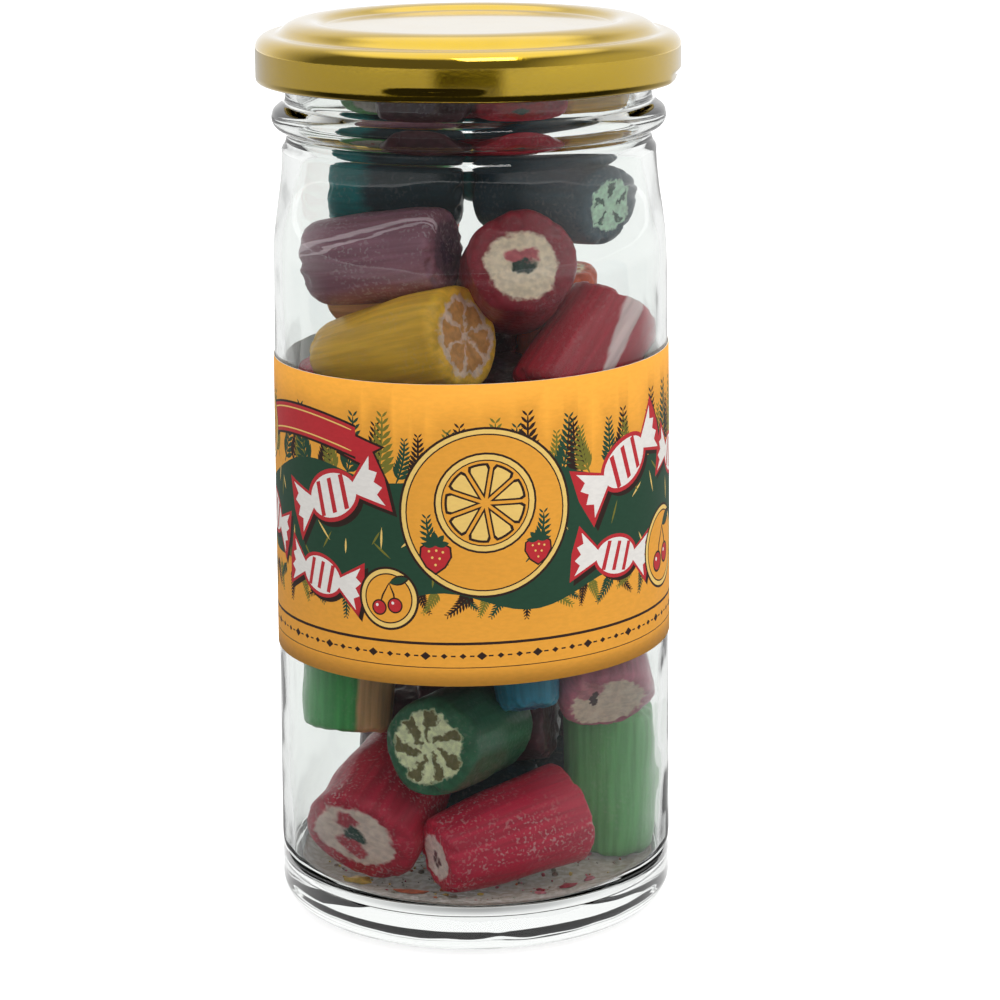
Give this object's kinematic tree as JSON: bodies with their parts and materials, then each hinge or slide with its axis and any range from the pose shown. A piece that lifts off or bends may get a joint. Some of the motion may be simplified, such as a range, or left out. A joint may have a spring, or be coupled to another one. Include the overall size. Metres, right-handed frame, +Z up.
{
  "type": "jar of rock candy",
  "caption": "Sealed round glass jar with a gold twist-off lid and an amber wrap label, filled with short cut pieces of fruit rock candy.",
  "frame": {"origin": "centre of the jar's base, on the plane that the jar stands on", "axes": "+Z up along the jar's axis; -Y towards the middle of the label; +X to the right seen from the front"},
  "size_m": [0.061, 0.061, 0.1314],
  "materials": {
    "glass": "clear flint glass, smooth",
    "lid": "gold lacquer on tinplate, glossy",
    "label": "printed paper, satin",
    "candy": "boiled sugar, satin with a faint gloss"
  },
  "bodies": {
    "root": {"jar_glass": "glass", "lid": "lid", "label": "label", "candy_heap": "candy"}
  },
  "joints": []
}
